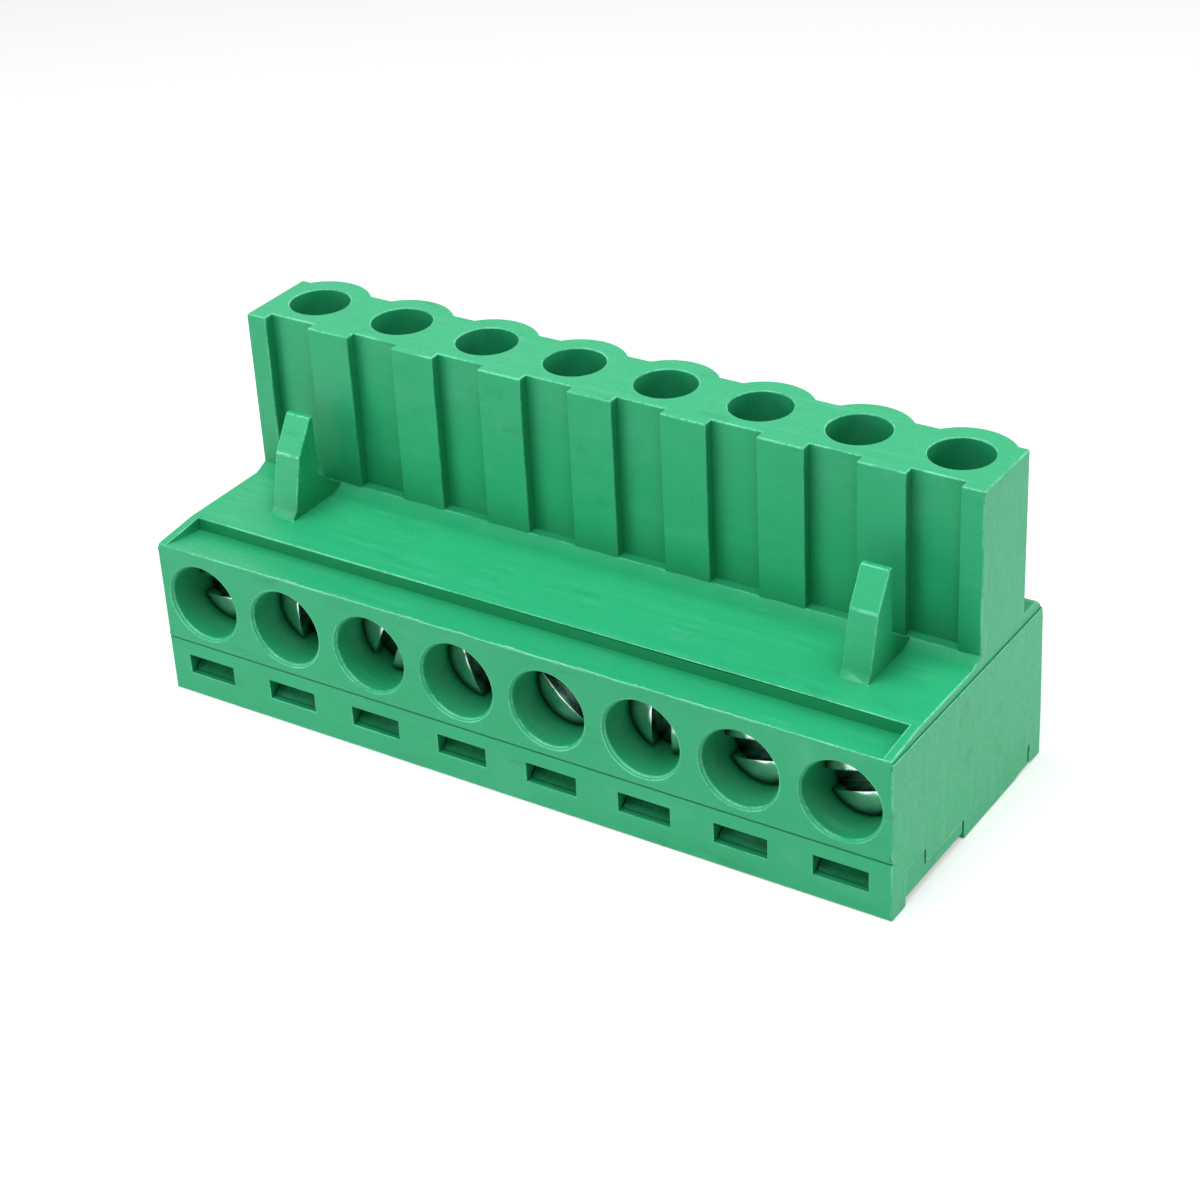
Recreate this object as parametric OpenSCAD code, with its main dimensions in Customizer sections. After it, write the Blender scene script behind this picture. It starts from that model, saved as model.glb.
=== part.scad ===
// Pluggable terminal block (plug half), standing on its wire-entry side.
// Frame: X along the row of poles, Y from the screw face (-) to the back (+), Z up
// to the mating sockets. Origin at the middle of the bottom of the bounding box.
// Inside the modules, "depth" is the distance behind the screw face.

/* [Poles] */
// Number of poles
poles = 8; // [2:1:12]
// Distance from pole to pole
pitch = 5.08; // [5:0.01:7.62]

/* [Body] */
// Depth of the body from the screw face to the back face
body_d = 15.2; // [15:0.1:20]
// Height of the ledge between the screw face and the mating part
ledge_z = 8.65; // [8.5:0.05:10]
// Height of the top edge of the screw face
face_top_z = 8.37; // [8.2:0.01:8.5]
// Depth of the recessed strip along the top of the screw face
strip_d = 2.6; // [1:0.1:3.5]
// Height of the strip floor at its back wall
strip_floor_z = 8.0; // [7.8:0.05:8.3]
// Width of the rim at each end of the strip
rim_w = 0.55; // [0.3:0.05:1]
// Height of the parting step on the end faces
parting_z = 8.2; // [8:0.05:8.3]
// How far the ends step in above the parting step
parting_step = 0.08; // [0.02:0.01:0.2]
// Height of the body top behind the mating part
back_top_z = 8.8; // [8.6:0.05:10]
// Radius of the rounded edge along the top of the back face
back_edge_r = 0.9; // [0.3:0.1:1]
// Thickness of the back wall behind the cages
back_wall = 1.25; // [1.1:0.05:1.3]
// How far the back face leans in at its top
back_lean = 0.2; // [0.1:0.05:0.4]

/* [Mating part] */
// Height of the mating face
mate_top_z = 17.24; // [15:0.01:20]
// Distance from the back face to the row of sockets
socket_inset = 3.85; // [3.5:0.05:4.2]
// Distance from the sockets forwards to the front of the ribs
rib_reach = 2.78; // [2.6:0.02:3]
// Distance from the sockets back to the flats between the scallops
flat_reach = 1.73; // [1.65:0.01:2]
// Radius of the sockets
socket_r = 1.53; // [1:0.01:1.6]
// Length of the round part of each socket
socket_len = 3.4; // [2:0.1:4.5]
// Radius of the scallops behind the sockets
scallop_r = 2.59; // [2.5:0.01:2.8]
// Width of the groove in front of each socket
groove_w = 2.66; // [1:0.02:3.6]
// Depth of the grooves between the ribs
groove_depth = 0.55; // [0.2:0.05:0.6]
// How far the sloping foot of the ribs runs out over the ledge
foot_run = 0.75; // [0.3:0.05:1]
// Height of the sloping foot at the front of the ribs
foot_rise = 0.32; // [0.2:0.01:0.8]

/* [Latch prongs] */
// Distance from the end of the block to the middle of a prong
prong_inset = 4.32; // [2:0.02:4.5]
// Width of a prong
prong_w = 1.46; // [1:0.02:2]
// Height of the tip of a prong
prong_top_z = 13.45; // [12.5:0.05:16]
// Depth of a prong from its toe to its back
prong_d = 2.35; // [2:0.05:3]
// Gap between a prong and the ribs
prong_gap = 1.72; // [1.4:0.02:2]

/* [Screws] */
// Height of the screw axes
screw_z = 5.55; // [5.4:0.05:5.7]
// Radius of the screw holes in the face
screw_hole_r = 1.97; // [1.9:0.01:2.1]
// Width of the small chamfer round each screw hole
hole_chamfer = 0.14; // [0.05:0.01:0.3]
// Depth of the top of a screw head
head_d = 1.75; // [1.5:0.05:2.6]
// Height of a screw head
head_h = 1.8; // [1.2:0.1:2]
// Clearance round a screw head in its hole
head_clearance = 0.1; // [0.05:0.01:0.15]
// Width of the driver slot
slot_w = 1.05; // [0.6:0.05:1.1]
// Depth of the driver slot
slot_depth = 1.0; // [0.5:0.1:1.2]
// Radius of the thread, over its crests
thread_r = 1.45; // [1.2:0.01:1.48]

/* [Clamp cages] */
// Height of a cage
cage_h = 4.4; // [3.8:0.1:4.4]
// Thickness of the tapped front wall of a cage
cage_front_t = 1.5; // [1:0.1:1.6]
// Thickness of the back wall of a cage
cage_back_t = 0.8; // [0.5:0.05:0.9]
// Thickness of the side walls of a cage
cage_side_t = 0.4; // [0.3:0.02:0.44]
// Travel of a cage from open to clamped
cage_travel = 2.4; // [1.5:0.1:2.4]
// Gap left between the bar and the back of a cage when clamped
clamped_gap = 0.2; // [0.1:0.05:0.4]
// Clearance round a cage in its chamber
cage_clearance = 0.1; // [0.05:0.01:0.15]
// Radial clearance of a thread in its cage
thread_clearance = 0.05; // [0.02:0.01:0.08]

/* [Contacts] */
// Thickness of the contact strip
strip_t = 0.5; // [0.3:0.05:0.6]
// Width of the current bar and of the folded spring base
bar_w = 2.5; // [2:0.05:2.6]
// Clearance between a screw tip and the current bar
tip_clearance = 0.05; // [0.02:0.01:0.1]
// Width of a spring leaf
leaf_w = 1.6; // [1.2:0.05:2]
// How far the folded spring base runs back past the leaves
spring_tail = 0.7; // [0.4:0.05:0.9]
// Height of the folded spring base
spring_base_h = 1.5; // [1:0.1:2]
// Height of the spring leaves above their base
leaf_h = 3.3; // [2:0.1:3.4]
// Gap between the leaves where they grip a pin
grip_gap = 0.8; // [0.5:0.05:1]

/* [Wire cover] */
// Thickness of the front wall of the housing, in front of the cover
front_wall = 1.35; // [1:0.05:1.5]
// Height of the top face of the cover
cover_top_z = 2.65; // [2.4:0.05:3]
// Height of the recessed front part of the cover above the base
cover_recess = 0.4; // [0.2:0.05:0.6]
// Depth where the recessed part ends
cover_step_d = 7.1; // [6:0.1:8]
// Clearance round the cover
cover_clearance = 0.05; // [0.02:0.01:0.1]
// Widening of each wire opening towards the outside, on each side
funnel = 0.35; // [0.1:0.05:0.4]
// Height of the funnel part of a wire opening
funnel_h = 1.0; // [0.4:0.1:1.4]
// Width of a snap window
window_w = 2.77; // [2:0.01:3.4]
// Height of a snap window
window_h = 1.05; // [0.8:0.05:1.2]
// Height of the lower edge of a snap window
window_z = 1.2; // [1:0.05:1.4]
// How far a snap lug lies behind the face at its latching edge
lug_recess = 0.3; // [0.1:0.05:0.6]
// Height of the fine step line across the face
face_line_z = 3.05; // [2.6:0.05:3.3]
// Depth of that fine step line
face_line_depth = 0.05; // [0.03:0.01:0.1]

/* [Hidden] */
$fn = 64;

// Small overlap for cuts that run out through a face
eps = 0.01;
// Where cuts end in open air
out = 1;

// Ends of the block, and its poles
half_len = poles * pitch / 2;
function pole_x(i) = (i - (poles + 1) / 2) * pitch;

// Depths of the mating part, all tied to the back face
socket_d = body_d - socket_inset;
rib_front_d = socket_d - rib_reach;
flat_back_d = socket_d + flat_reach;
prong_back_d = rib_front_d - prong_gap;
prong_front_d = prong_back_d - prong_d;

// Depths of the clamp, from the back face forwards
wire_gap = cage_travel + clamped_gap;
chamber_back_d = body_d - back_wall;
cage_back_d = chamber_back_d - cage_clearance;
bar_back_d = cage_back_d - cage_back_t - wire_gap;
bar_front_d = bar_back_d - strip_t;
cage_front_d = bar_front_d - cage_clearance - cage_front_t;
screw_tip_d = bar_front_d - tip_clearance;
head_back_d = head_d + head_h;

// Cage, as wide as the screw thread and two side walls
cage_inner_w = 2 * (thread_r + thread_clearance);
cage_w = cage_inner_w + 2 * cage_side_t;

// Chamber of one pole
chamber_w = cage_w + 2 * cage_clearance;
chamber_front_d = head_back_d - 0.3;
chamber_top_z = screw_z + cage_h / 2 + cage_clearance;
end_wall = (pitch - chamber_w) / 2;

// Spring cavity above the chamber, under the round part of the socket
socket_floor_z = mate_top_z - socket_len;
cavity_w = bar_w + 0.3;
leaf_front_d = socket_d - leaf_w / 2;
leaf_back_d = socket_d + leaf_w / 2;
spring_back_d = leaf_back_d + spring_tail;
cavity_front_d = min(bar_front_d, leaf_front_d) - 0.1;
cavity_back_d = spring_back_d + 0.1;

// Current bar and spring
bar_foot_z = cover_top_z;
spring_z = chamber_top_z + 0.75;
leaf_z = spring_z + spring_base_h;

// Wire opening, in line with the open space of the cage
wire_w = cage_inner_w;
wire_d = wire_gap;
wire_mid_d = bar_back_d + wire_gap / 2;

// Screw
head_r = screw_hole_r - head_clearance;
crown_r = 7;
// Angles of the driver slots from level, as the screws were left
slot_angles = [-8, 92, 115, 73, 43, 94, -13, -18];
function slot_angle(i) = slot_angles[(i - 1) % len(slot_angles)];

// Latch shoulder and end tabs of the cover
cover_front_d = front_wall + cover_clearance;
back_foot = back_wall + 0.1;
cover_back_d = body_d - back_foot - cover_clearance;
tab_low_z = 1.09;
tab_high_z = 1.89;
tab_step_d = 3.29;
rear_foot_z = 0.1;
side_chamfer_d = 12.5;
slit_w = 0.14;
slit_h = 1.1;

green = [0.18, 0.62, 0.42];
zinc = [0.75, 0.77, 0.78];
nickel = [0.62, 0.61, 0.56];
tin = [0.8, 0.79, 0.74];

// A piece drawn with its profile in depth and height, with its width along X
module across(w) {
    rotate([90, 0, 90])
        translate([0, 0, -w / 2])
            linear_extrude(w) children();
}

// A cylinder along depth, from depth d0 to d1
module bore_y(r, d0, d1) {
    translate([0, d0, 0]) rotate([-90, 0, 0]) cylinder(r = r, h = d1 - d0);
}

module at_poles() {
    for (i = [1:poles]) translate([pole_x(i), 0, 0]) children();
}

// ---- Housing ----

// Section of the lower body: face, strip, ledge and rounded, leaning back
module body_section() {
    top_back_d = body_d - back_lean;
    difference() {
        polygon([
            [0, 0],
            [0, face_top_z],
            [strip_d, ledge_z],
            [rib_front_d, ledge_z],
            [rib_front_d, back_top_z],
            [top_back_d, back_top_z],
            [body_d, back_top_z * 0.3],
            [body_d, 0]]);
        translate([top_back_d - back_edge_r, back_top_z - back_edge_r]) difference() {
            square(back_edge_r + out);
            circle(r = back_edge_r);
        }
    }
}

// Ribs, grooves and scallops seen from above
module mating_plan() {
    half_w = half_len - parting_step;
    difference() {
        union() {
            translate([-half_w, rib_front_d])
                square([2 * half_w, flat_back_d - rib_front_d]);
            intersection() {
                for (i = [1:poles]) translate([pole_x(i), socket_d]) circle(r = scallop_r);
                translate([-half_w, socket_d]) square([2 * half_w, body_d]);
            }
        }
        for (i = [1:poles]) translate([pole_x(i) - groove_w / 2, rib_front_d - out])
            square([groove_w, groove_depth + out]);
    }
}

// Sloping foot that joins the ribs and grooves to the ledge
module rib_foot() {
    groove_back_d = rib_front_d + groove_depth;
    across(2 * (half_len - parting_step)) polygon([
        [rib_front_d - foot_run, ledge_z - eps],
        [rib_front_d, ledge_z + foot_rise],
        [groove_back_d + eps, ledge_z + foot_rise],
        [groove_back_d + eps, ledge_z - eps]]);
}

module latch_prong() {
    tip_w = 0.25;
    slope_h = 1.73;
    slope_run = 1.1;
    toe_h = 0.42;
    toe_run = 0.35;
    web_h = 1.55;
    web_run = 1.05;
    web_drop = 0.78;
    shoulder_z = prong_top_z - slope_h;
    toe_z = ledge_z + toe_h;
    web_z = ledge_z + web_h;
    across(prong_w) polygon([
        [prong_front_d, ledge_z - eps],
        [prong_front_d + toe_run, toe_z],
        [prong_back_d - tip_w - slope_run, shoulder_z],
        [prong_back_d - tip_w, prong_top_z],
        [prong_back_d, prong_top_z],
        [prong_back_d, web_z],
        [prong_back_d + web_run, web_z - web_drop],
        [rib_front_d + eps, ledge_z + foot_rise],
        [rib_front_d + eps, ledge_z - eps]]);
}

// Screw hole, clamp chamber, spring cavity and socket of one pole
module pole_cuts() {
    translate([0, 0, screw_z]) {
        bore_y(screw_hole_r, -out, chamber_front_d + eps);
        translate([0, -eps, 0]) rotate([-90, 0, 0])
            cylinder(r1 = screw_hole_r + hole_chamfer, r2 = screw_hole_r, h = hole_chamfer + eps);
    }
    translate([-chamber_w / 2, chamber_front_d, cover_top_z - eps])
        cube([chamber_w, chamber_back_d - chamber_front_d, chamber_top_z - cover_top_z + eps]);
    translate([-cavity_w / 2, cavity_front_d, chamber_top_z - eps])
        cube([cavity_w, cavity_back_d - cavity_front_d, socket_floor_z - chamber_top_z + eps]);
    translate([0, socket_d, socket_floor_z - eps])
        cylinder(r = socket_r, h = socket_len + out);
    translate([-window_w / 2, -out, window_z])
        cube([window_w, front_wall + 2 * out, window_h]);
}

// Room for the wire cover, open at the base, with notches in the end walls
module cover_room() {
    inner = half_len - end_wall;
    translate([-inner, front_wall, -out])
        cube([2 * inner, cover_back_d + cover_clearance - front_wall, cover_top_z + out]);
    across(2 * half_len + out) polygon([
        [front_wall, -out],
        [front_wall, tab_high_z],
        [tab_step_d, tab_high_z],
        [tab_step_d, tab_low_z],
        [cover_step_d, tab_low_z],
        [cover_step_d, -out]]);
}

// Small lead-in and slit at the back of each end wall's foot
module foot_cuts() {
    slit_d = cover_back_d + cover_clearance;
    across(2 * half_len + out) polygon([
        [side_chamfer_d, -out],
        [side_chamfer_d, 0],
        [side_chamfer_d + 0.4, rear_foot_z],
        [slit_d, rear_foot_z],
        [slit_d, slit_h],
        [slit_d + slit_w, slit_h],
        [slit_d + slit_w, rear_foot_z],
        [slit_d + 0.5, 0],
        [slit_d + 0.5, -out]]);
}

module housing() {
    color(green) translate([0, -body_d / 2, 0]) difference() {
        union() {
            difference() {
                across(2 * half_len) body_section();
                // the ends step in above the parting line
                for (side = [-1, 1]) translate([side * half_len - parting_step, -out, parting_z])
                    cube([2 * parting_step, body_d + 2 * out, ledge_z]);
                // recessed strip along the top of the face
                across(2 * (half_len - rim_w)) polygon([
                    [-out, face_top_z + out],
                    [-out, face_top_z],
                    [0, face_top_z],
                    [strip_d, strip_floor_z],
                    [strip_d, face_top_z + out]]);
            }
            translate([0, 0, ledge_z - eps])
                linear_extrude(mate_top_z - ledge_z + eps) mating_plan();
            rib_foot();
            for (side = [-1, 1]) translate([side * (half_len - prong_inset), 0, 0])
                latch_prong();
        }
        at_poles() pole_cuts();
        cover_room();
        foot_cuts();
        // fine step across the face under the screw holes
        translate([-half_len - out, -out, face_line_z - face_line_depth])
            cube([2 * (half_len + out), out + face_line_depth, 2 * face_line_depth]);
    }
}

// ---- Wire cover ----

module snap_lug() {
    gap = cover_clearance;
    across(window_w - 2 * gap) polygon([
        [cover_front_d + eps, window_z + gap],
        [lug_recess, window_z + gap],
        [lug_recess, window_z + 2 * gap],
        [cover_front_d - 0.15, window_z + window_h - gap],
        [cover_front_d + eps, window_z + window_h - gap]]);
}

// Section through a mouth of this width, narrowing upwards over funnel_h
module mouth_section(w) {
    polygon([
        [-w / 2 - funnel, -out],
        [-w / 2 - funnel, 0],
        [-w / 2, funnel_h],
        [w / 2, funnel_h],
        [w / 2 + funnel, 0],
        [w / 2 + funnel, -out]]);
}

module wire_opening() {
    translate([0, wire_mid_d, 0]) {
        translate([-wire_w / 2, -wire_d / 2, -out])
            cube([wire_w, wire_d, cover_top_z + 2 * out]);
        // mouth with four sloping sides
        intersection() {
            across(wire_w + 2 * funnel) mouth_section(wire_d);
            translate([0, wire_d / 2 + funnel, 0]) rotate([90, 0, 0])
                linear_extrude(wire_d + 2 * funnel) mouth_section(wire_w);
        }
    }
}

module wire_cover() {
    inner = half_len - end_wall - cover_clearance;
    outer = half_len - cover_clearance;
    color(green * 0.92) translate([0, -body_d / 2, 0]) difference() {
        union() {
            across(2 * inner) polygon([
                [cover_front_d, cover_recess],
                [cover_front_d, cover_top_z],
                [cover_back_d, cover_top_z],
                [cover_back_d, rear_foot_z],
                [cover_step_d, rear_foot_z],
                [cover_step_d, cover_recess]]);
            // stepped tabs that fill the notches in the end walls
            across(2 * outer) polygon([
                [cover_front_d, cover_recess],
                [cover_front_d, tab_high_z - cover_clearance],
                [tab_step_d - cover_clearance, tab_high_z - cover_clearance],
                [tab_step_d - cover_clearance, tab_low_z - cover_clearance],
                [cover_step_d - cover_clearance, tab_low_z - cover_clearance],
                [cover_step_d - cover_clearance, cover_recess]]);
            at_poles() snap_lug();
        }
        at_poles() wire_opening();
    }
}

// ---- Clamp screws ----

module screw(i) {
    point_h = 0.4;
    color(zinc) translate([pole_x(i), -body_d / 2, screw_z]) difference() {
        union() {
            // head with a slightly crowned top
            intersection() {
                bore_y(head_r, head_d, head_back_d);
                translate([0, head_d + crown_r, 0]) sphere(r = crown_r, $fn = 96);
            }
            bore_y(thread_r, head_back_d - eps, screw_tip_d - point_h);
            translate([0, screw_tip_d - point_h - eps, 0]) rotate([-90, 0, 0])
                cylinder(r1 = thread_r, r2 = thread_r - point_h, h = point_h + eps);
        }
        rotate([0, slot_angle(i), 0])
            translate([-head_r - out, head_d - out, -slot_w / 2])
                cube([2 * (head_r + out), out + slot_depth, slot_w]);
    }
}

// ---- Clamp cages ----

module cage(i) {
    depth = cage_back_d - cage_front_d;
    color(nickel) translate([pole_x(i), -body_d / 2 + cage_front_d, screw_z]) difference() {
        translate([-cage_w / 2, 0, -cage_h / 2]) cube([cage_w, depth, cage_h]);
        // wire way, open at the top and the bottom
        translate([-cage_inner_w / 2, cage_front_t, -cage_h / 2 - out])
            cube([cage_inner_w, depth - cage_front_t - cage_back_t, cage_h + 2 * out]);
        bore_y(thread_r + thread_clearance, -out, cage_front_t + out);
    }
}

// ---- Contacts ----

// One leaf, seen from the front: up from the folded base, in to the grip, out at the tip
module leaf_section() {
    root_x = bar_w / 2;
    grip_x = grip_gap / 2;
    grip_z = leaf_h * 0.78;
    polygon([
        [root_x, 0],
        [grip_x + strip_t, grip_z],
        [grip_x + strip_t + 0.25, leaf_h],
        [grip_x + 0.25, leaf_h],
        [grip_x, grip_z],
        [root_x - strip_t, 0]]);
}

module contact(i) {
    color(tin) translate([pole_x(i), -body_d / 2, 0]) {
        // current bar through the cage
        translate([-bar_w / 2, bar_front_d, bar_foot_z])
            cube([bar_w, strip_t, leaf_z - bar_foot_z]);
        // folded base of the spring
        for (side = [-1, 1]) {
            translate([side * (bar_w - strip_t) / 2 - strip_t / 2, bar_front_d, spring_z])
                cube([strip_t, spring_back_d - bar_front_d, spring_base_h]);
            // holding barbs
            translate([side * (bar_w / 2 - eps), bar_front_d + strip_t + 0.8, spring_z + 0.5])
                mirror([side < 0 ? 1 : 0, 0, 0])
                    cube([(cavity_w - bar_w) / 2 + eps, 0.8, 0.5]);
            mirror([side < 0 ? 1 : 0, 0, 0])
                translate([0, leaf_back_d, leaf_z - eps])
                    rotate([90, 0, 0]) linear_extrude(leaf_w) leaf_section();
        }
    }
}

housing();
wire_cover();
for (i = [1:poles]) {
    screw(i);
    cage(i);
    contact(i);
}
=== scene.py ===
"""Pluggable terminal block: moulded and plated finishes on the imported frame, with real screws."""
import math

import bmesh
import bpy
from mathutils import Matrix, Vector, noise as ripple


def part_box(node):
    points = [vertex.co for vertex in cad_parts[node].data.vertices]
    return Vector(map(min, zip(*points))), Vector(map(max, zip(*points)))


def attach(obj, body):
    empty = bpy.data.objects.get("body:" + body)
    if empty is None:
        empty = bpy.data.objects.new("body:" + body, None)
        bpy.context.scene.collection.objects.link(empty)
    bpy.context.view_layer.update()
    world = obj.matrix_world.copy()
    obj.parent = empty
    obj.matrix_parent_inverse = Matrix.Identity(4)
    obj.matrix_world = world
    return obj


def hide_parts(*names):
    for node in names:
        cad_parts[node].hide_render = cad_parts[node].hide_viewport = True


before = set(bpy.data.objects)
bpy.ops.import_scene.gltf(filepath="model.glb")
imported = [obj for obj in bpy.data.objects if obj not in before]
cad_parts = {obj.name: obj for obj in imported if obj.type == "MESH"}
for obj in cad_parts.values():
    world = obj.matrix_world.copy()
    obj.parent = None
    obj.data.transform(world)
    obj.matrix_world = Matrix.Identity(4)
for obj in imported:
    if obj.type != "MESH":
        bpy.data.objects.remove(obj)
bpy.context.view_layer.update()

MM = 0.001
POLES = sum(name.startswith("screw_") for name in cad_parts)

# Camera: place, turn, tilt and roll of a viewer standing to the right of the screw face
CAMERA_PLACE = Vector((65.2, -95.1, 74.6)) * MM
CAMERA_TURN = 0.596
CAMERA_TILT = -0.532
CAMERA_ROLL = -0.055
CAMERA_LENS = 83.64
CAMERA_SENSOR = 36

# Studio: the point the lamps aim at, the floor, and how bright the room is by itself and to the eye
LAMP_TARGET = Vector((0, 0, 8)) * MM
FLOOR_SIZE = 3
FLOOR_DROP = 0.02 * MM
FLOOR_TONE = (0.75, 0.75, 0.75, 1)
FLOOR_SEEN = 0.4
ROOM_SEEN, ROOM_LIGHT = 0.76, 0.24

# Softened edges of each kind of piece, in millimetres, as softened() works
HOUSING_EDGE = 0.07
COVER_EDGE = 0.06
CAGE_EDGE = 0.12
CONTACT_EDGE = 0.06
BEND = 14
INNER_BEND = 40
MERGE = 0.002

# Heights of the finer edges, and of the cuts across the flats, in millimetres
FACE_LINE_BAND = (2.9, 3.2)
HOLE_BAND = (3.3, 7.9)
WINDOW_BAND = (1.0, 2.4)
FACE_Y = -7.55
PARTING_Z = 8.2
PARTING_SLACK = 0.02
PARTING_WEIGHT, RIM_WEIGHT = 0.35, 0.5
END_CUT = 0.2
FACE_CUTS_Z = (3.24, 8.0)

# Front wall of the housing, which the snap lugs reach into
FRONT_WALL = 1.35 * MM

# Flash along the front top edge, from FLASH_START to FLASH_END of the width
FRONT_TOP = 8.35 * MM
FLASH_START, FLASH_END = 0.11, 0.93
FLASH_STEPS = 480
FLASH_SWELL, FLASH_RIPPLE = 0.7, 5
FLASH_MEAN, FLASH_SWING = 0.45, 0.8
FLASH_FADE = 12
FLASH_LEAN = 0.3
FLASH_H = 0.14 * MM
FLASH_ROOT = 0.05 * MM
FLASH_THICK = 0.03 * MM

# Clamp screws, and the turned position of each driver slot in degrees
HEAD_H = 1.8 * MM
CROWN_H = 0.25 * MM
CROWN_RINGS = 5
SHANK_R = 1.45 * MM
SHANK_OVERLAP = 0.1 * MM
THREAD_PITCH = 0.5 * MM
THREAD_DEPTH = 0.27 * MM
THREAD_START, THREAD_RUN_IN = 0.3 * MM, 0.5 * MM
GROOVE_WIDTH = 1.25
POINT_H = 0.45 * MM
POINT_TAPER = 0.9
SLOT_W = 1.05 * MM
SLOT_DEPTH = 1.0 * MM
SCREW_EDGE = 0.07 * MM
SLOT_ANGLES = [-8, 92, 115, 73, 43, 94, -13, -18]

# Plastic colours, linear
GREEN = (0.022, 0.44, 0.19, 1)
GREEN_DEEP = (0.014, 0.37, 0.15, 1)
# The two edge greens, on every rounded edge, are paler as a painted highlight.
GREEN_EDGE_HIGHLIGHT = (0.09, 0.60, 0.31, 1)
GREEN_HOUSING_EDGE_HIGHLIGHT = (0.14, 0.64, 0.38, 1)
# The flash fin is real; its pale green is a painted highlight.
GREEN_FLASH_HIGHLIGHT = (0.24, 0.74, 0.50, 1)
# A pale, hazy green laid along the flow streaks as a painted sheen.
GREEN_STREAK_SHEEN = (0.085, 0.54, 0.30, 1)
# Painted shade for corners, grooves and holes, and also the dark tone of the scuffs.
GREEN_SHADE_AND_SCUFF = (0.003, 0.16, 0.055, 1)
# A darker green for the snap lugs deep in their windows: painted shade.
LUG_SHADE_GREEN = (0.006, 0.24, 0.09, 1)
LUG_SHADE_GREEN_DEEP = (0.001, 0.075, 0.025, 1)

# Metal colours, linear: each plating bright and dull, and the painted shade in its hollows
# The zinc is tinted teal, a painted reflection of the green plastic around the heads.
ZINC, ZINC_DULL = (0.80, 0.92, 0.90, 1), (0.56, 0.71, 0.68, 1)
NICKEL, NICKEL_DULL = (0.70, 0.68, 0.62, 1), (0.48, 0.46, 0.42, 1)
TIN, TIN_DULL = (0.82, 0.80, 0.76, 1), (0.60, 0.58, 0.54, 1)
# Near-black painted shade for the slots and the rims of the metal.
METAL_PAINTED_SHADE = (0.01, 0.016, 0.015, 1)

# Depth of the relief in plastic and plating, and how far off a wall the painted shade of a hollow
# still reaches
PLASTIC_RELIEF, PLATING_RELIEF = 0.03 * MM, 0.02 * MM
PLASTIC_HOLLOW, PLATING_HOLLOW = 2.6 * MM, 1.1 * MM
HOLLOW_SAMPLES = 8


# ---- Tools for shaping ----

def only(piece):
    """Makes this piece the one that is selected and active."""
    bpy.ops.object.select_all(action="DESELECT")
    piece.select_set(True)
    bpy.context.view_layer.objects.active = piece


def edit(piece, select="SELECT"):
    """Opens a piece for editing, with all or nothing selected."""
    only(piece)
    bpy.ops.object.mode_set(mode="EDIT")
    bpy.ops.mesh.select_all(action=select)


def done():
    """Closes the piece that is open for editing."""
    bpy.ops.object.mode_set(mode="OBJECT")


def apply_modifier(piece, kind, **settings):
    """Adds a modifier with these settings and applies it."""
    only(piece)
    modifier = piece.modifiers.new(kind.title(), kind)
    for key, value in settings.items():
        setattr(modifier, key, value)
    bpy.ops.object.modifier_apply(modifier=modifier.name)


def smooth(piece, angle):
    """Shades a piece smooth, except at edges over this angle in degrees."""
    only(piece)
    bpy.ops.object.shade_smooth_by_angle(angle=math.radians(angle))


def weigh_edges(piece, sharp, fine):
    """Gives each outer edge over this angle its bevel weight, as fine() says."""
    mesh = bmesh.new()
    mesh.from_mesh(piece.data)
    weight = mesh.edges.layers.float.get("bevel_weight_edge")
    weight = weight or mesh.edges.layers.float.new("bevel_weight_edge")
    for edge in mesh.edges:
        bent = len(edge.link_faces) == 2 and edge.calc_face_angle(0) > math.radians(sharp)
        edge[weight] = 0
        if bent and edge.is_convex:
            edge[weight] = fine(edge.verts[0].co, edge.verts[1].co)
    mesh.to_mesh(piece.data)
    mesh.free()


def crease_inner_edges(piece, sharp):
    """Keeps each inner corner over this angle crisp, so that no shading runs across it."""
    mesh = bmesh.new()
    mesh.from_mesh(piece.data)
    for edge in mesh.edges:
        edge.smooth = (len(edge.link_faces) != 2 or edge.is_convex
                       or edge.calc_face_angle(0) < math.radians(sharp))
    mesh.to_mesh(piece.data)
    mesh.free()


def cut_faces(piece, cuts):
    """Parts the flat faces between openings, so that no long sliver runs from rim to rim."""
    for facing, place, normal in cuts:
        edit(piece, "DESELECT")
        bpy.ops.mesh.select_mode(type="FACE")
        done()
        for face in piece.data.polygons:
            face.select = face.normal.dot(Vector(facing)) > 0.999
        bpy.ops.object.mode_set(mode="EDIT")
        bpy.ops.mesh.bisect(plane_co=place, plane_no=normal)
        bpy.ops.mesh.select_all(action="SELECT")
        bpy.ops.mesh.quads_convert_to_tris()
        bpy.ops.mesh.beautify_fill(angle_limit=math.radians(0.5))
        done()


def softened(node, name, width, edge_slot=0, fine=lambda start, end: 1.0, cuts=()):
    """A merged copy of a CAD node with its edges rounded and its flats kept flat.

    It is worked in millimetres, because weighted normals lose faces this small in metres."""
    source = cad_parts[node]
    piece = bpy.data.objects.new(name, source.data.copy())
    bpy.context.collection.objects.link(piece)
    piece.data.materials.clear()
    piece.data.transform(Matrix.Scale(1 / MM, 4))
    edit(piece)
    bpy.ops.mesh.remove_doubles(threshold=MERGE)
    done()
    cut_faces(piece, cuts)
    if edge_slot:
        piece.data.materials.append(None)
        piece.data.materials.append(None)
    only(piece)
    bpy.ops.object.shade_smooth()
    weigh_edges(piece, BEND, fine)
    apply_modifier(piece, "BEVEL", width=width, segments=2, limit_method="WEIGHT",
                   use_clamp_overlap=False, material=edge_slot, face_strength_mode="FSTR_ALL")
    crease_inner_edges(piece, INNER_BEND)
    apply_modifier(piece, "WEIGHTED_NORMAL", mode="FACE_AREA", weight=50,
                   use_face_influence=True, keep_sharp=True)
    piece.data.transform(Matrix.Scale(MM, 4))
    return piece


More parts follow.
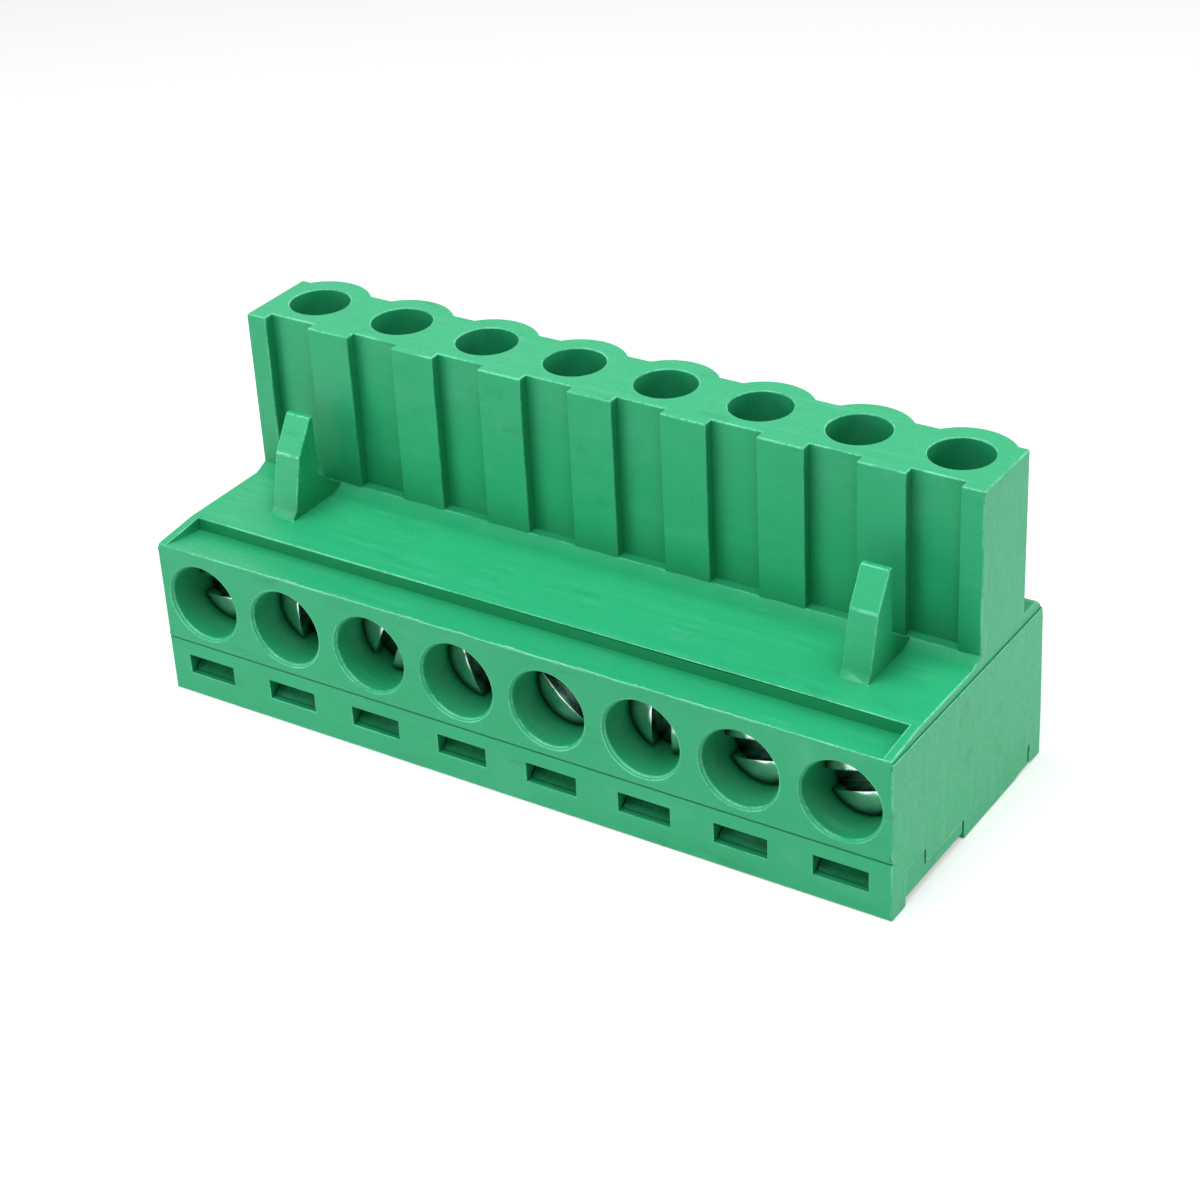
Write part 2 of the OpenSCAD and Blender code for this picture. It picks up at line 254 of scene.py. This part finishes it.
def stands_for(piece, node, body):
    """Hides the CAD node, and lets the piece ride on its body."""
    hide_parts(node)
    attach(piece, body)


# ---- Materials ----

def material(name, color, roughness, metallic=0.0, specular=0.5):
    """A new material with its Principled BSDF."""
    made = bpy.data.materials.new(name)
    made.use_nodes = True
    shader = made.node_tree.nodes["Principled BSDF"]
    shader.inputs["Base Color"].default_value = color
    shader.inputs["Roughness"].default_value = roughness
    shader.inputs["Metallic"].default_value = metallic
    shader.inputs["Specular IOR Level"].default_value = specular
    return made, shader


def surface_group(name, inputs):
    """A new node group that puts out a colour, a roughness and a height, and its two end nodes."""
    made = bpy.data.node_groups.new(name, "ShaderNodeTree")
    for socket, value in inputs.items():
        kind = "NodeSocketFloat" if isinstance(value, float) else "NodeSocketColor"
        item = made.interface.new_socket(socket, in_out="INPUT", socket_type=kind)
        item.default_value = value
    for socket, kind in (("Color", "NodeSocketColor"), ("Roughness", "NodeSocketFloat"),
                         ("Height", "NodeSocketFloat")):
        made.interface.new_socket(socket, in_out="OUTPUT", socket_type=kind)
    start = made.nodes.new("NodeGroupInput")
    end = made.nodes.new("NodeGroupOutput")
    return made, start, end


def put_out(tree, end, color, rough, height):
    """Links the three results of a surface group to its end node."""
    for socket, value in (("Color", color), ("Roughness", rough), ("Height", height)):
        tree.links.new(value, end.inputs[socket])


def surfaced(made, shader, surface, values, bump, depth):
    """Places a surface group in a material with its own values, and links it to the shader."""
    tree = made.node_tree
    placed = tree.nodes.new("ShaderNodeGroup")
    placed.node_tree = surface
    for socket, value in values.items():
        placed.inputs[socket].default_value = value
    relief = tree.nodes.new("ShaderNodeBump")
    relief.inputs["Strength"].default_value = bump
    relief.inputs["Distance"].default_value = depth
    tree.links.new(placed.outputs["Color"], shader.inputs["Base Color"])
    tree.links.new(placed.outputs["Roughness"], shader.inputs["Roughness"])
    tree.links.new(placed.outputs["Height"], relief.inputs["Height"])
    tree.links.new(relief.outputs["Normal"], shader.inputs["Normal"])
    return made


def noise(tree, scale, detail, roughness, stretch=(1, 1, 1)):
    """Noise on Object coordinates. scale is in features a millimetre."""
    nodes, links = tree.nodes, tree.links
    place = nodes.new("ShaderNodeTexCoord")
    turn = nodes.new("ShaderNodeMapping")
    turn.inputs["Scale"].default_value = [scale / MM * share for share in stretch]
    made = nodes.new("ShaderNodeTexNoise")
    made.inputs["Scale"].default_value = 1.0
    made.inputs["Detail"].default_value = detail
    made.inputs["Roughness"].default_value = roughness
    links.new(place.outputs["Object"], turn.inputs["Vector"])
    links.new(turn.outputs["Vector"], made.inputs["Vector"])
    return made.outputs["Fac"]


def math_node(tree, operation, first, second, third=None):
    """The result of one sum, whose terms are numbers or sockets."""
    node = tree.nodes.new("ShaderNodeMath")
    node.operation = operation
    for socket, value in zip(node.inputs, (first, second, third)):
        if value is None:
            continue
        if isinstance(value, (int, float)):
            socket.default_value = value
        else:
            tree.links.new(value, socket)
    return node.outputs[0]


def spread(tree, value, low, high, to_low, to_high):
    """The value, stretched from low..high to to_low..to_high."""
    node = tree.nodes.new("ShaderNodeMapRange")
    tree.links.new(value, node.inputs["Value"])
    for key, number in (("From Min", low), ("From Max", high),
                        ("To Min", to_low), ("To Max", to_high)):
        node.inputs[key].default_value = number
    return node.outputs["Result"]


def recess(tree, distance, low, high, amount, own=False):
    """How hollow the surface is here: 0 on open faces, up to amount in corners, slots and holes;
    the mask of the painted shade.

    With own, only the piece itself counts, and not what stands close to it."""
    hollow = tree.nodes.new("ShaderNodeAmbientOcclusion")
    hollow.samples = HOLLOW_SAMPLES
    hollow.only_local = own
    hollow.inputs["Distance"].default_value = distance
    return spread(tree, hollow.outputs["AO"], low, high, amount, 0.0)


def blend_colors(tree, factor, first, second):
    """The first colour, turning into the second as the factor goes from 0 to 1."""
    mix = tree.nodes.new("ShaderNodeMix")
    mix.data_type = "RGBA"
    mix.clamp_factor = True
    for socket, value in (("Factor", factor), ("A", first), ("B", second)):
        tree.links.new(value, mix.inputs[socket])
    return mix.outputs["Result"]


def moulding_group():
    """Moulded plastic: grain, clouds, flow streaks with a painted sheen, scuffs, and painted shade
    in recesses.
    """
    tree, start, end = surface_group("moulding", {
        "Color": GREEN, "Deep": GREEN_DEEP, "Streak Sheen": GREEN_STREAK_SHEEN, "Shade and Scuff": GREEN_SHADE_AND_SCUFF,
        "Roughness": 0.42, "Cloud": 0.5})
    grain = noise(tree, 5.0, 3.0, 0.7)
    cloud = noise(tree, 0.45, 4.0, 0.55)
    streak = noise(tree, 1.0, 4.0, 0.65, (0.1, 2.0, 0.35))
    shade = math_node(tree, "ADD", spread(tree, cloud, 0.35, 0.65, -0.3, 0.3),
                      spread(tree, streak, 0.3, 0.7, -0.25, 0.25))
    shade = math_node(tree, "ADD", shade, spread(tree, grain, 0.3, 0.7, -0.35, 0.35))
    amount = math_node(tree, "MULTIPLY_ADD", shade, start.outputs["Cloud"], 0.5)
    scuff = spread(tree, noise(tree, 0.8, 6.0, 0.6, (0.35, 1.0, 1.0)), 0.6, 0.7, 0.0, 0.25)
    # Painted shade in hollows, found by occlusion, with the scuffs laid on in the same dark tone.
    hollow = math_node(tree, "MAXIMUM", recess(tree, PLASTIC_HOLLOW, 0.6, 0.97, 0.55, own=True),
                       scuff)
    # Paler green along some flow streaks: a painted sheen.
    streak_sheen = math_node(tree, "MULTIPLY", spread(tree, streak, 0.45, 0.75, 0.0, 0.6),
                     spread(tree, cloud, 0.4, 0.65, 0.1, 1.0))
    color = blend_colors(tree, amount, start.outputs["Color"], start.outputs["Deep"])
    color = blend_colors(tree, streak_sheen, color, start.outputs["Streak Sheen"])
    color = blend_colors(tree, hollow, color, start.outputs["Shade and Scuff"])
    rough = math_node(tree, "MULTIPLY_ADD", spread(tree, grain, 0.3, 0.7, -0.5, 0.5), 0.16,
                      start.outputs["Roughness"])
    height = math_node(tree, "MULTIPLY_ADD", grain, 0.7, math_node(tree, "MULTIPLY", streak, 0.3))
    put_out(tree, end, color, rough, height)
    return tree


def plastic(name, color, deep, roughness, moulding, cloud=0.6, specular=0.36):
    """A moulded plastic, clouded from its colour to a deeper one."""
    made, shader = material(name, color, roughness, specular=specular)
    values = {"Color": color, "Deep": deep, "Roughness": roughness, "Cloud": cloud}
    return surfaced(made, shader, moulding, values, bump=0.2, depth=PLASTIC_RELIEF)


def plating_group():
    """Plated metal: fine scratches, cloudy sheen, and painted shade in its hollows."""
    tree, start, end = surface_group("plating", {
        "Color": ZINC, "Dull": ZINC_DULL, "Painted Shade": METAL_PAINTED_SHADE, "Roughness": 0.25})
    cloud = noise(tree, 1.6, 5.0, 0.65)
    scratch = noise(tree, 2.0, 4.0, 0.7, (1.0, 1.0, 9.0))
    color = blend_colors(tree, spread(tree, cloud, 0.35, 0.7, 0.0, 1.0),
                         start.outputs["Color"], start.outputs["Dull"])
    # Painted shade: the slot and the rim of each head darken towards black.
    hollow = recess(tree, PLATING_HOLLOW, 0.35, 0.75, 0.92)
    color = blend_colors(tree, hollow, color, start.outputs["Painted Shade"])
    rough = math_node(tree, "MULTIPLY_ADD", spread(tree, cloud, 0.3, 0.7, -0.5, 0.5), 0.18,
                      start.outputs["Roughness"])
    height = math_node(tree, "MULTIPLY_ADD", scratch, 0.5, math_node(tree, "MULTIPLY", cloud, 0.5))
    put_out(tree, end, color, rough, height)
    return tree


def plated(name, color, dull, roughness, plating):
    """A plated metal, bright with duller clouds."""
    made, shader = material(name, color, roughness, metallic=1.0)
    values = {"Color": color, "Dull": dull, "Roughness": roughness}
    return surfaced(made, shader, plating, values, bump=0.25, depth=PLATING_RELIEF)


# ---- Mouldings ----

def fine_edge(start, end):
    """Bevel weight of an edge of a moulding: none on the face's step line, less on its rims."""
    low, high = min(start.z, end.z), max(start.z, end.z)
    if FACE_LINE_BAND[0] < low and high < FACE_LINE_BAND[1]:
        return 0.0
    if high - low < PARTING_SLACK and abs(low - PARTING_Z) < PARTING_SLACK:
        return PARTING_WEIGHT
    on_rim = any(band[0] < low and high < band[1] for band in (HOLE_BAND, WINDOW_BAND))
    if max(start.y, end.y) < FACE_Y and on_rim:
        return RIM_WEIGHT
    return 1.0


def face_cuts():
    """Cuts between the poles, near both ends, and over and under the screw holes."""
    low, high = (Vector(corner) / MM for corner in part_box("housing"))
    pitch = (high[0] - low[0]) / POLES
    front, top, bottom, back = (0, -1, 0), (0, 0, 1), (0, 0, -1), (0, 1, 0)
    between = [low[0] + pitch * pole for pole in range(1, POLES)]
    cuts = [(facing, (x, 0, 0), (1, 0, 0))
            for x in between for facing in (front, top, bottom, back)]
    cuts += [(front, (x, 0, 0), (1, 0, 0)) for x in (low[0] + END_CUT, high[0] - END_CUT)]
    cuts += [(front, (0, 0, z), (0, 0, 1)) for z in FACE_CUTS_Z]
    return cuts


def shade_lugs(cover, shaded_lug):
    """Gives the snap lugs, which reach into the front wall of the housing, a darker plastic of
    their own as painted shade.
    """
    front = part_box("housing")[0][1]
    cover.data.materials.append(shaded_lug)
    for face in cover.data.polygons:
        if face.center.y < front + FRONT_WALL:
            face.material_index = len(cover.data.materials) - 1


def mouldings(plain, edge, shaded_lug):
    """The housing and its wire cover, with a paler plastic along their edges as a painted
    highlight.
    """
    cuts = face_cuts()
    for node, name, width, slot in (("housing", "housing_moulding", HOUSING_EDGE, "housing"),
                                    ("wire_cover", "wire_cover_moulding", COVER_EDGE, "cover")):
        piece = softened(node, name, width, edge_slot=1, fine=fine_edge, cuts=cuts)
        piece.data.materials[0] = plain[slot]
        piece.data.materials[1] = edge[slot]
        if slot == "cover":
            shade_lugs(piece, shaded_lug)
        stands_for(piece, node, "root")


def flash_height(x, across):
    """Height of the fin at x, which fades out towards both of its ends."""
    swell = ripple.noise(Vector((x / MM * FLASH_SWELL, 0, 0)))
    wave = swell + 0.7 * ripple.noise(Vector((x / MM * FLASH_RIPPLE, 3, 0)))
    fade = min(1, FLASH_FADE * across, FLASH_FADE * (1 - across))
    return FLASH_H * max(0.0, FLASH_MEAN + FLASH_SWING * wave) * fade


def edge_flash(flash_highlight):
    """The thin ragged fin that the mould left along the front top edge, in a pale plastic that is a
    painted highlight.
    """
    low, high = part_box("housing")
    bpy.ops.object.select_all(action="DESELECT")
    bpy.ops.mesh.primitive_grid_add(x_subdivisions=FLASH_STEPS, y_subdivisions=1, size=1)
    piece = bpy.context.object
    piece.name = "edge_flash"
    for vertex in piece.data.vertices:
        across = vertex.co.x + 0.5
        x = low[0] + (high[0] - low[0]) * (FLASH_START + (FLASH_END - FLASH_START) * across)
        if vertex.co.y < 0:
            vertex.co = (x, low[1] + FLASH_ROOT, FRONT_TOP - FLASH_ROOT)
            continue
        height = flash_height(x, across)
        vertex.co = (x, low[1] + 0.2 * FLASH_ROOT - FLASH_LEAN * height, FRONT_TOP + height)
    edit(piece)
    bpy.ops.mesh.normals_make_consistent(inside=False)
    done()
    apply_modifier(piece, "SOLIDIFY", thickness=FLASH_THICK, offset=0)
    smooth(piece, 60)
    piece.data.materials.append(flash_highlight)
    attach(piece, "root")


# ---- Clamp screws ----

def screw_head(radius, angle):
    """A crowned head with its driver slot, its top at the origin, facing up."""
    bpy.ops.object.select_all(action="DESELECT")
    bpy.ops.mesh.primitive_cylinder_add(vertices=64, radius=radius, depth=HEAD_H - CROWN_H,
                                        location=(0, 0, -CROWN_H - (HEAD_H - CROWN_H) / 2))
    head = bpy.context.object
    edit(head, "DESELECT")
    bpy.ops.mesh.select_mode(type="FACE")
    done()
    bpy.ops.object.transform_apply(location=True, rotation=True, scale=True)
    for face in head.data.polygons:
        face.select = face.normal.z > 0.9
    bpy.ops.object.mode_set(mode="EDIT")
    for ring in range(CROWN_RINGS):
        outer = 1 - ring / CROWN_RINGS
        inner = max(1 - (ring + 1) / CROWN_RINGS, 0.1)
        bpy.ops.mesh.inset(thickness=(outer - inner) * radius, depth=0)
        bpy.ops.transform.translate(value=(0, 0, CROWN_H * (outer ** 2 - inner ** 2)))
    done()
    bpy.ops.mesh.primitive_cube_add(size=1, location=(0, 0, 0))
    cutter = bpy.context.object
    cutter.scale = (3 * radius, SLOT_W, 2 * SLOT_DEPTH)
    cutter.rotation_euler.z = -math.radians(angle)
    bpy.ops.object.transform_apply(location=True, rotation=True, scale=True)
    apply_modifier(head, "BOOLEAN", operation="DIFFERENCE", object=cutter, solver="EXACT")
    bpy.data.objects.remove(cutter)
    apply_modifier(head, "BEVEL", width=SCREW_EDGE, segments=2, limit_method="ANGLE",
                   angle_limit=math.radians(30))
    return head


def thread_radius(x, y, z, length):
    """Radius at a point of the shank: a helical groove below the head, and a pointed tip."""
    turn = math.atan2(y, x) / (2 * math.pi)
    phase = (-z / THREAD_PITCH + turn) % 1
    groove = 1 - abs(2 * phase - 1)
    run_in = min(1, max(0, (-z - THREAD_START) / THREAD_RUN_IN))
    radius = SHANK_R - THREAD_DEPTH * min(1, GROOVE_WIDTH * groove) * run_in
    return radius - max(0, POINT_H - (length + z)) * POINT_TAPER


def threaded_shank(length):
    """A shank with a helical thread, from the underside of the head down to a pointed tip."""
    columns, rows_a_turn = 36, 8
    rows = round(length / (THREAD_PITCH / rows_a_turn))
    bpy.ops.object.select_all(action="DESELECT")
    bpy.ops.mesh.primitive_circle_add(vertices=columns, radius=SHANK_R, fill_type="NGON",
                                      location=(0, 0, 0))
    shank = bpy.context.object
    edit(shank)
    for _ in range(rows):
        bpy.ops.mesh.extrude_region_move(TRANSFORM_OT_translate={"value": (0, 0, -length / rows)})
    bpy.ops.mesh.select_all(action="SELECT")
    bpy.ops.mesh.normals_make_consistent(inside=False)
    done()
    for vertex in shank.data.vertices:
        x, y, z = vertex.co
        scale = thread_radius(x, y, z, length) / SHANK_R
        vertex.co = (x * scale, y * scale, z)
    shank.location.z = -HEAD_H + SHANK_OVERLAP
    only(shank)
    bpy.ops.object.transform_apply(location=True, rotation=False, scale=False)
    return shank


def clamp_screws(zinc):
    """One slotted screw for each pole, each in its own turned position."""
    for pole in range(1, POLES + 1):
        node = f"screw_{pole}"
        low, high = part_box(node)
        radius = (high[0] - low[0]) / 2
        length = high[1] - low[1] - HEAD_H
        piece = screw_head(radius, SLOT_ANGLES[(pole - 1) % len(SLOT_ANGLES)])
        shank = threaded_shank(length + SHANK_OVERLAP)
        apply_modifier(piece, "BOOLEAN", operation="UNION", object=shank, solver="EXACT")
        bpy.data.objects.remove(shank)
        piece.name = f"clamp_{node}"
        piece.data.materials.clear()
        piece.data.materials.append(zinc)
        centre = ((low[0] + high[0]) / 2, low[1], (low[2] + high[2]) / 2)
        piece.data.transform(Matrix.Translation(centre) @ Matrix.Rotation(math.pi / 2, 4, "X"))
        smooth(piece, 40)
        stands_for(piece, node, node)


# ---- Cages and contacts ----

def cages_and_contacts(nickel, tin):
    """The rising cage and the fixed contact of each pole."""
    for pole in range(1, POLES + 1):
        cage = softened(f"cage_{pole}", f"clamp_cage_{pole}", CAGE_EDGE)
        cage.data.materials.append(nickel)
        stands_for(cage, f"cage_{pole}", f"cage_{pole}")
        contact = softened(f"contact_{pole}", f"spring_contact_{pole}", CONTACT_EDGE)
        contact.data.materials.append(tin)
        stands_for(contact, f"contact_{pole}", "root")


# ---- Stage, light and camera ----

def seen_ray(tree):
    """1 for the rays that show the pale room itself: to the camera, in metal and through glass."""
    paths = tree.nodes.new("ShaderNodeLightPath")
    seen = math_node(tree, "MAXIMUM", paths.outputs["Is Camera Ray"],
                     paths.outputs["Is Transmission Ray"])
    return math_node(tree, "MAXIMUM", seen, paths.outputs["Is Glossy Ray"])


def stage():
    """The plain pale floor, a hair under the block."""
    bpy.ops.object.select_all(action="DESELECT")
    bpy.ops.mesh.primitive_plane_add(size=FLOOR_SIZE, location=(0, 0, -FLOOR_DROP))
    floor = bpy.context.object
    floor.name = "floor"
    made, shader = material("pale_floor", FLOOR_TONE, 0.8, specular=0.1)
    tree = made.node_tree
    shader.inputs["Emission Color"].default_value = (1, 1, 1, 1)
    glow = math_node(tree, "MULTIPLY", seen_ray(tree), FLOOR_SEEN)
    tree.links.new(glow, shader.inputs["Emission Strength"])
    floor.data.materials.append(made)


def area_light(name, place, side, power):
    """A lamp with sides of this length, at a place in millimetres, aimed at the block."""
    data = bpy.data.lights.new(name, "AREA")
    data.shape = "RECTANGLE"
    data.size = data.size_y = side * MM
    data.energy = power
    lamp = bpy.data.objects.new(name, data)
    bpy.context.collection.objects.link(lamp)
    lamp.location = Vector(place) * MM
    aim = LAMP_TARGET - lamp.location
    lamp.rotation_euler = aim.to_track_quat("-Z", "Y").to_euler()


def lights():
    """A lamp overhead, one on the screw face, one from behind, and even light from all round."""
    area_light("overhead", (0, -38, 166), 140, 0.30)
    area_light("front_left", (-150, -130, 45), 90, 0.11)
    area_light("right_back", (150, 95, 50), 90, 0.12)
    world = bpy.data.worlds.new("pale_room")
    world.use_nodes = True
    bpy.context.scene.world = world
    tree = world.node_tree
    backdrop = tree.nodes["Background"]
    backdrop.inputs["Color"].default_value = (1, 1, 1, 1)
    strength = math_node(tree, "MULTIPLY_ADD", seen_ray(tree), ROOM_SEEN, ROOM_LIGHT)
    tree.links.new(strength, backdrop.inputs["Strength"])


def camera():
    """The camera, placed and turned as the values at the top say."""
    data = bpy.data.cameras.new("camera")
    data.lens = CAMERA_LENS
    data.sensor_width = CAMERA_SENSOR
    data.clip_start = 1 * MM
    made = bpy.data.objects.new("camera", data)
    bpy.context.collection.objects.link(made)
    turn = (Matrix.Rotation(CAMERA_TURN, 4, "Z")
            @ Matrix.Rotation(math.pi / 2 + CAMERA_TILT, 4, "X")
            @ Matrix.Rotation(CAMERA_ROLL, 4, "Z"))
    made.location = CAMERA_PLACE
    made.rotation_euler = turn.to_euler()
    bpy.context.scene.camera = made


def main():
    """Builds the studio, then the block piece by piece."""
    camera()
    lights()
    stage()
    moulding = moulding_group()
    plating = plating_group()
    plain = {"housing": plastic("green_housing", GREEN, GREEN_DEEP, 0.42, moulding),
             "cover": plastic("green_cover", GREEN, GREEN_DEEP, 0.45, moulding)}
    # Paler plastic on the rounded edges: a painted highlight.
    edge = {"housing": plastic("green_housing_edge_highlight", GREEN_HOUSING_EDGE_HIGHLIGHT, GREEN, 0.3, moulding, cloud=2.2),
            "cover": plastic("green_cover_edge_highlight", GREEN_EDGE_HIGHLIGHT, GREEN_DEEP, 0.35, moulding, cloud=1.2)}
    # The snap lugs get a darker plastic: painted shade.
    shaded_lug = plastic("green_lug_painted_shade", LUG_SHADE_GREEN, LUG_SHADE_GREEN_DEEP, 0.6, moulding, specular=0.1)
    # The zinc's teal tint is a painted reflection of the green plastic.
    zinc = plated("bright_zinc", ZINC, ZINC_DULL, 0.17, plating)
    nickel = plated("nickel", NICKEL, NICKEL_DULL, 0.3, plating)
    tin = plated("tin", TIN, TIN_DULL, 0.35, plating)
    mouldings(plain, edge, shaded_lug)
    # The fin's pale plastic is a painted highlight.
    edge_flash(plastic("green_flash_highlight", GREEN_FLASH_HIGHLIGHT, GREEN_EDGE_HIGHLIGHT, 0.35, moulding, cloud=0.8))
    clamp_screws(zinc)
    cages_and_contacts(nickel, tin)


bpy.context.scene.view_settings.view_transform = "Standard"
main()
